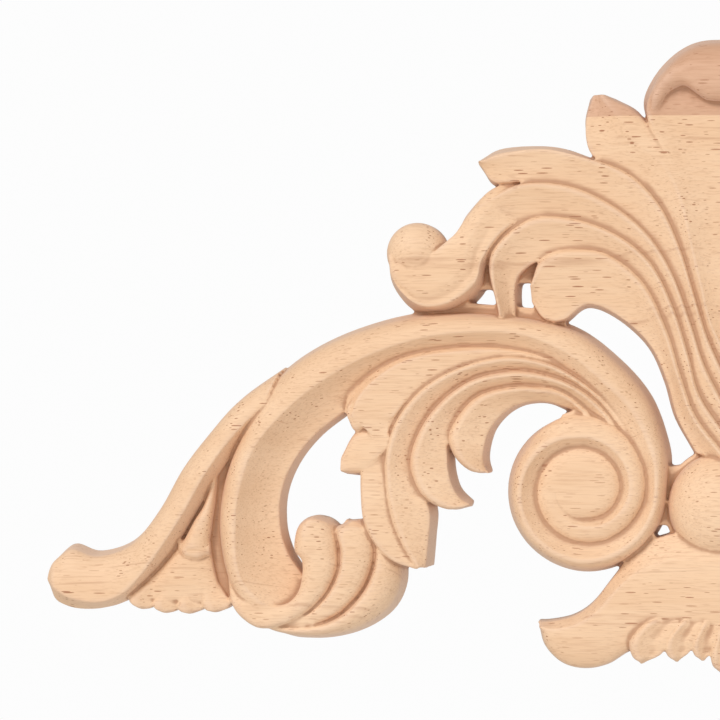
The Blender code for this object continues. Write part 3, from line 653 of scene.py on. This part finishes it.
def applied(obj):
    """The object's mesh with its modifiers, as a new mesh."""
    graph = bpy.context.evaluated_depsgraph_get()
    mesh = bpy.data.meshes.new_from_object(obj.evaluated_get(graph))
    obj.modifiers.clear()
    obj.data = mesh
    return mesh


remesh = half.modifiers.new("melt", "REMESH")
remesh.mode = "VOXEL"
remesh.voxel_size = VOXEL
remesh.use_smooth_shade = True
sand = half.modifiers.new("sand", "SMOOTH")
sand.factor = 0.5
sand.iterations = SANDING_PASSES
applied(half)
print("melted,", len(half.data.polygons), "faces")

# %% [markdown]
# Before the thinning, while its faces are even, each point learns how deep it lies below its
# surroundings. The mesh is smoothed a good deal more, and a point that this lifts outward was in a
# hollow. Dust, finish and the heat of the cutter darken a carving in just these places. The shade that
# falls into the hollows is painted there too, so the material reads this as an attribute. Where it is
# below zero, on ridges and rounded edges, a greyish painted sheen goes on. A second attribute says how
# steep the surface is, because the steep walls get a greyish painted shade.

# %% Find the hollows
HOLLOW_PASSES = 24
PULL = 0.6  # how far a pass moves each point towards the mean of its neighbours


def hollow_depths(mesh, passes):
    """How far each point of the mesh moves outward when its surroundings are smoothed, in millimetres."""
    count = len(mesh.vertices)
    flat = np.empty(count * 3, np.float32)
    mesh.vertices.foreach_get("co", flat)
    start = flat.reshape(-1, 3).astype(np.float64)
    mesh.vertex_normals.foreach_get("vector", flat)
    normals = flat.reshape(-1, 3).astype(np.float64)
    ends = np.empty(len(mesh.edges) * 2, np.int32)
    mesh.edges.foreach_get("vertices", ends)
    a, b = ends.reshape(-1, 2).T
    degree = np.bincount(np.concatenate([a, b]), minlength=count)[:, None]
    place = start.copy()
    for _ in range(passes):
        total = np.stack(
            [np.bincount(a, place[b, k], count) + np.bincount(b, place[a, k], count) for k in range(3)],
            axis=1,
        )
        place = (1 - PULL) * place + PULL * total / degree
    return ((place - start) * normals).sum(axis=1)


depths = hollow_depths(half.data, HOLLOW_PASSES)
groove = half.data.attributes.new("groove", "FLOAT", "POINT")
groove.data.foreach_set("value", depths.astype(np.float32))
facing = np.empty(len(depths) * 3, np.float32)
half.data.vertex_normals.foreach_get("vector", facing)
wall = half.data.attributes.new("wall", "FLOAT", "POINT")
wall.data.foreach_set("value", 1 - np.abs(facing[1::3]))
print("hollows from", round(float(depths.min()), 2), "to", round(float(depths.max()), 2), "mm")

# %% Saw and thin
work = bmesh.new()
work.from_mesh(half.data)
for direction in (Vector((0, 1, 0)), Vector((1, 0, 0))):
    cut = bmesh.ops.bisect_plane(
        work, geom=work.verts[:] + work.edges[:] + work.faces[:], plane_co=(0, 0, 0), plane_no=direction,
        clear_outer=True,
    )
    if direction.y:
        rim = [e for e in cut["geom_cut"] if isinstance(e, bmesh.types.BMEdge)]
        bmesh.ops.triangle_fill(work, edges=rim, use_beauty=True)
work.to_mesh(half.data)
work.free()
thin = half.modifiers.new("thin", "DECIMATE")
thin.ratio = HALF_TRIANGLES / (2 * len(half.data.polygons))
applied(half)
print("thinned,", len(half.data.polygons), "faces")

# %% [markdown]
# The thinning moves points, so the half is cut at the middle plane once more. Points near the plane are
# set on it, and faces that lie in it are removed. The mirrored copy then meets the half point for point,
# and the seam is welded shut.

# %% Cut at the middle, mirror and bring to metres
whole = bmesh.new()
whole.from_mesh(half.data)
bmesh.ops.bisect_plane(
    whole, geom=whole.verts[:] + whole.edges[:] + whole.faces[:], dist=SEAM, plane_co=(0, 0, 0),
    plane_no=(1, 0, 0), clear_outer=True,
)
for v in whole.verts:
    if abs(v.co.x) < SEAM:
        v.co.x = 0
on_plane = [f for f in whole.faces if all(v.co.x == 0 for v in f.verts)]
bmesh.ops.delete(whole, geom=on_plane, context="FACES")
bmesh.ops.mirror(
    whole, geom=whole.verts[:] + whole.edges[:] + whole.faces[:], merge_dist=SEAM / 10, axis="X"
)
bmesh.ops.triangulate(whole, faces=whole.faces)
bmesh.ops.recalc_face_normals(whole, faces=whole.faces)
bmesh.ops.scale(whole, verts=whole.verts, vec=Vector((MM, MM, MM)))
open_edges = sum(len(e.link_faces) != 2 for e in whole.edges)
carving_mesh = bpy.data.meshes.new("carving")
whole.to_mesh(carving_mesh)
whole.free()
bpy.data.objects.remove(half)
carving_mesh.shade_smooth()
FLAT_BACK = 0.9  # faces that look this nearly straight back are the sawn back, which stays flat to its rim
for face in carving_mesh.polygons:
    face.use_smooth = face.normal.y < FLAT_BACK
carving = bpy.data.objects.new("carving", carving_mesh)
bpy.context.scene.collection.objects.link(carving)
print("whole carving:", len(carving_mesh.polygons), "faces,", open_edges, "open edges")

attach(carving, "root")
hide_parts("applique")

# %% [markdown]
# ## The wood
#
# Rubberwood is pale and straw-coloured, with a faint pink. Its grain runs along the span. Three things
# give it away: short brown dashes, which are its wide vessels cut lengthwise, long soft streaks of fibre,
# and now and then a thin growth line. All are solid patterns, cut by the carving as in real wood: a
# vessel shows as a dash on a face along the grain and as a dot on one across it. So they read the
# object's own coordinates.

# %% Helpers for shader nodes
def plug(tree, socket, value):
    """Links another node's output to a socket, or types a value into it."""
    if isinstance(value, bpy.types.NodeSocket):
        tree.links.new(value, socket)
    else:
        socket.default_value = value


def add(tree, kind, inputs=None, **settings):
    """A new node with its settings, and a value or a link for each named input."""
    made = tree.nodes.new(kind)
    for name, value in settings.items():
        setattr(made, name, value)
    for name, value in (inputs or {}).items():
        plug(tree, made.inputs[name], value)
    return made


def new_group(name, inputs, outputs):
    """An empty shader node group with its sockets, and its input and output nodes."""
    tree = bpy.data.node_groups.new(name, "ShaderNodeTree")
    for direction, sockets in (("INPUT", inputs), ("OUTPUT", outputs)):
        for socket, kind in sockets.items():
            tree.interface.new_socket(name=socket, in_out=direction, socket_type=kind)
    return tree, tree.nodes.new("NodeGroupInput").outputs, tree.nodes.new("NodeGroupOutput").inputs


def ranged(tree, value, low, high, start=0.0, end=1.0):
    """The value eased from low and high to start and end, and held there outside them."""
    return add(
        tree, "ShaderNodeMapRange",
        {"Value": value, "From Min": low, "From Max": high, "To Min": start, "To Max": end},
        interpolation_type="SMOOTHSTEP",
    ).outputs["Result"]


def times(tree, a, b):
    return add(tree, "ShaderNodeMath", {0: a, 1: b}, operation="MULTIPLY").outputs[0]


def mixed(tree, share, a, b):
    """Colour a with this share of colour b."""
    made = add(tree, "ShaderNodeMix", data_type="RGBA")
    for socket, value in ((0, share), (6, a), (7, b)):
        plug(tree, made.inputs[socket], value)
    return made.outputs[2]


def stretched_noise(tree, place, size, detail=2.0, rough=0.5):
    """Noise whose grains have this size along X, Y and Z, in the place's own units."""
    grain = add(tree, "ShaderNodeVectorMath", {0: place, 1: size}, operation="DIVIDE")
    return add(
        tree, "ShaderNodeTexNoise",
        {"Vector": grain.outputs[0], "Scale": 1.0, "Detail": detail, "Roughness": rough},
    ).outputs["Fac"]


# %% Vessels
VESSEL_CELL = (7.0, 0.62, 0.62)  # one vessel to each cell of this size, in millimetres
vessels, ports, out = new_group("vessels", {"Place": "NodeSocketVector"}, {"Mask": "NodeSocketFloat"})
cell = add(vessels, "ShaderNodeVectorMath", {0: ports["Place"], 1: VESSEL_CELL}, operation="DIVIDE")
cell = cell.outputs[0]
point = add(vessels, "ShaderNodeTexVoronoi", {"Vector": cell, "Scale": 1.0, "Randomness": 1.0})
luck = add(vessels, "ShaderNodeSeparateColor", {"Color": point.outputs["Color"]}).outputs["Red"]
reach = ranged(vessels, luck, 0.0, 1.0, 0.08, 0.27)
inside = add(vessels, "ShaderNodeMath", {0: reach, 1: point.outputs["Distance"]}, operation="SUBTRACT")
dash = ranged(vessels, inside.outputs[0], 0.0, 0.05)
crowd = ranged(vessels, stretched_noise(vessels, ports["Place"], (40, 6, 6)), 0.4, 0.58, 0.35, 1.0)
vessels.links.new(times(vessels, dash, crowd), out["Mask"])

# %% [markdown]
# The blank was glued up from boards, and each board has its own tint and its own grain. So the board is a
# group with named colours and a shift, which is placed once for each board.

# %% A board
board, ports, out = new_group(
    "board",
    {
        "Place": "NodeSocketVector", "Shift": "NodeSocketVector", "Pale": "NodeSocketColor",
        "Deep": "NodeSocketColor", "Vessel": "NodeSocketColor",
    },
    {"Color": "NodeSocketColor", "Height": "NodeSocketFloat"},
)
place = add(board, "ShaderNodeVectorMath", {0: ports["Place"], 1: ports["Shift"]}, operation="ADD")
place = place.outputs[0]
axes = add(board, "ShaderNodeSeparateXYZ", {"Vector": place}).outputs
sway = stretched_noise(board, place, (70, 40, 40), 1.0)
lean = add(board, "ShaderNodeMath", {0: axes["Y"], 1: 0.5, 2: axes["Z"]}, operation="MULTIPLY_ADD")
lean = lean.outputs[0]
layer = add(board, "ShaderNodeMath", {0: sway, 1: 6.0, 2: lean}, operation="MULTIPLY_ADD").outputs[0]
rings = add(
    board, "ShaderNodeTexNoise", {"W": layer, "Scale": 0.07, "Detail": 1.0, "Roughness": 0.5},
    noise_dimensions="1D",
).outputs["Fac"]
off_line = add(board, "ShaderNodeMath", {0: rings, 1: 0.5}, operation="SUBTRACT").outputs[0]
off_line = add(board, "ShaderNodeMath", {0: off_line}, operation="ABSOLUTE").outputs[0]
broken = ranged(board, stretched_noise(board, place, (30, 3, 3), 2.0), 0.45, 0.65)
growth_line = times(board, ranged(board, off_line, 0.0, 0.009, 0.3, 0.0), broken)
broad = ranged(board, stretched_noise(board, place, (60, 14, 14), 2.0), 0.3, 0.7)
fibre = ranged(board, stretched_noise(board, place, (26, 0.9, 0.9), 3.0, 0.6), 0.3, 0.72)
fine = stretched_noise(board, place, (6, 0.16, 0.16), 2.0, 0.6)
streak = ranged(board, stretched_noise(board, place, (9, 0.34, 0.34), 2.0, 0.6), 0.46, 0.72)
vessel = add(board, "ShaderNodeGroup", {"Place": place}, node_tree=vessels).outputs["Mask"]
tint = mixed(board, times(board, broad, 0.55), ports["Pale"], ports["Deep"])
tint = mixed(board, times(board, fibre, 0.4), tint, ports["Deep"])
tint = mixed(board, times(board, streak, 0.22), tint, ports["Vessel"])
tint = mixed(board, growth_line, tint, ports["Vessel"])
tint = mixed(board, times(board, vessel, 0.9), tint, ports["Vessel"])
board.links.new(tint, out["Color"])
relief = add(board, "ShaderNodeMath", {0: fine, 1: 0.35, 2: fibre}, operation="MULTIPLY_ADD").outputs[0]
relief = add(board, "ShaderNodeMath", {0: vessel, 1: -1.2, 2: relief}, operation="MULTIPLY_ADD").outputs[0]
board.links.new(relief, out["Height"])
print("board group:", len(board.nodes), "nodes")

# %% [markdown]
# The whole is two boards with a straight joint under the head. In the hollows the wood is painted
# darker with a brown from the groove attribute: partly the real dust and cutter heat, partly painted
# shade. Each ranged() says from which value of an attribute a colour begins and where it is strongest.
# The surface is bare and sanded: rough, with fibres that barely stand up.

# %% The finished wood
JOINT_Z = 95.2  # where the two boards meet, in millimetres
PALE, DEEP, BROWN = (0.875, 0.61, 0.4, 1), (0.77, 0.485, 0.285, 1), (0.38, 0.15, 0.07, 1)
PINK_PALE, PINK_DEEP = (0.72, 0.44, 0.29, 1), (0.58, 0.32, 0.19, 1)
# a brown for the hollows: partly real dust and cutter burn, partly painted shade
HOLLOW_DUST_AND_SHADE = (0.4, 0.19, 0.1, 1)
WALL_SHADE_AND_EDGE_SHEEN = (0.76, 0.55, 0.44, 1)  # painted shade makes the steep walls greyer, and a painted sheen the rounded edges
FIBRE_RELIEF = 0.00004  # how far the fibres stand up, in metres

rubberwood = bpy.data.materials.new("sanded_rubberwood")
rubberwood.use_nodes = True
tree = rubberwood.node_tree
shader = tree.nodes["Principled BSDF"]
spot = add(tree, "ShaderNodeTexCoord").outputs["Object"]
spot = add(tree, "ShaderNodeVectorMath", {0: spot, "Scale": 1 / MM}, operation="SCALE").outputs[0]
boards = [
    add(
        tree, "ShaderNodeGroup",
        {"Place": spot, "Shift": shift, "Pale": pale, "Deep": deep, "Vessel": BROWN},
        node_tree=board,
    ).outputs
    for shift, pale, deep in (((0, 0, 0), PALE, DEEP), ((137, 61, 223), PINK_PALE, PINK_DEEP))
]
height = add(tree, "ShaderNodeSeparateXYZ", {"Vector": spot}).outputs["Z"]
upper = add(tree, "ShaderNodeMath", {0: height, 1: JOINT_Z}, operation="GREATER_THAN").outputs[0]
wood = mixed(tree, upper, boards[0]["Color"], boards[1]["Color"])
depth = add(tree, "ShaderNodeAttribute", attribute_name="groove").outputs["Fac"]
steep = add(tree, "ShaderNodeAttribute", attribute_name="wall").outputs["Fac"]
# Painted shade: the steep walls are mixed towards a greyer colour.
wood = mixed(tree, ranged(tree, steep, 0.4, 0.9, 0, 0.5), wood, WALL_SHADE_AND_EDGE_SHEEN)
# Painted sheen: ridges and rounded edges, where the groove attribute is below zero, get the same greyish
# colour.
wood = mixed(tree, ranged(tree, depth, -0.25, -0.06, 0.18, 0), wood, WALL_SHADE_AND_EDGE_SHEEN)
# The hollows go brown: partly real dust and cutter burn, partly painted shade.
wood = mixed(tree, ranged(tree, depth, 0.02, 0.22, 0, 0.7), wood, HOLLOW_DUST_AND_SHADE)
plug(tree, shader.inputs["Base Color"], wood)
grain = add(tree, "ShaderNodeMix", {0: upper}, data_type="FLOAT")
plug(tree, grain.inputs[2], boards[0]["Height"])
plug(tree, grain.inputs[3], boards[1]["Height"])
fibres = {"Height": grain.outputs[0], "Distance": FIBRE_RELIEF, "Strength": 0.5}
bump = add(tree, "ShaderNodeBump", fibres)
plug(tree, shader.inputs["Normal"], bump.outputs["Normal"])
plug(tree, shader.inputs["Roughness"], ranged(tree, grain.outputs[0], 0.2, 1.0, 0.66, 0.56))
shader.inputs["Specular IOR Level"].default_value = 0.35
carving_mesh.materials.clear()
carving_mesh.materials.append(rubberwood)

# %% [markdown]
# ## Floor, light and camera
#
# The camera stands in front of the middle of the whole carving and looks at its left half, as the
# photographer did. A big soft light from the upper left makes the ridges bright and the grooves dark. A
# weak one from the lower right and a white world fill the shadows.

# %% Floor
FLOOR_RADIUS = 0.95
FLOOR_LEVEL = -0.25

stage = bmesh.new()
bmesh.ops.create_circle(stage, cap_ends=True, segments=96, radius=FLOOR_RADIUS)
bmesh.ops.translate(stage, verts=stage.verts, vec=(0, 0, FLOOR_LEVEL))
floor_mesh = bpy.data.meshes.new("floor")
stage.to_mesh(floor_mesh)
stage.free()
floor = bpy.data.objects.new("floor", floor_mesh)
bpy.context.scene.collection.objects.link(floor)
floor_paint = bpy.data.materials.new("pale_floor")
floor_paint.use_nodes = True
paint = floor_paint.node_tree.nodes["Principled BSDF"].inputs
paint["Base Color"].default_value = (0.82, 0.82, 0.81, 1)
paint["Roughness"].default_value = 0.8
floor_mesh.materials.append(floor_paint)

# %% Light
def soft_light(name, place, aim, size, power):
    """A round area light that looks at the aim. Places and size are in metres, power is in watts."""
    lamp = bpy.data.lights.new(name, "AREA")
    lamp.shape = "DISK"
    lamp.size = size
    lamp.energy = power
    obj = bpy.data.objects.new(name, lamp)
    obj.location = place
    obj.rotation_euler = (Vector(aim) - Vector(place)).to_track_quat("-Z", "Y").to_euler()
    bpy.context.scene.collection.objects.link(obj)


soft_light("key", (-1.75, -3.1, 2.6), (-0.05, 0, 0.03), 1.4, 97.0)
soft_light("fill", (0.22, -0.75, -0.22), (-0.02, 0, 0.0), 0.5, 1.9)

WORLD_LIGHT = 0.55  # how strongly the white world lights the wood
WORLD_SEEN = 0.98  # how bright it looks to the camera

world = bpy.data.worlds.new("white")
world.use_nodes = True
bpy.context.scene.world = world
sky = world.node_tree.nodes["Background"]
ray = add(world.node_tree, "ShaderNodeLightPath").outputs["Is Camera Ray"]
plug(world.node_tree, sky.inputs["Strength"], ranged(world.node_tree, ray, 0, 1, WORLD_LIGHT, WORLD_SEEN))
sky.inputs["Color"].default_value = (1, 1, 1, 1)

# %% Camera
EYE = Vector((0, -0.70, 0.03575))
AIM = Vector((-0.0892, -0.008, 0.03575))
VIEW_WIDTH = 0.1786  # the width of the photograph's field at the carved face
lens = bpy.data.cameras.new("camera")
lens.sensor_width = 36
lens.lens = 36 * (AIM - EYE).length / VIEW_WIDTH
camera = bpy.data.objects.new("camera", lens)
camera.location = EYE
camera.rotation_euler = (AIM - EYE).to_track_quat("-Z", "Y").to_euler()
bpy.context.scene.collection.objects.link(camera)
bpy.context.scene.camera = camera
bpy.context.scene.view_settings.view_transform = "Standard"
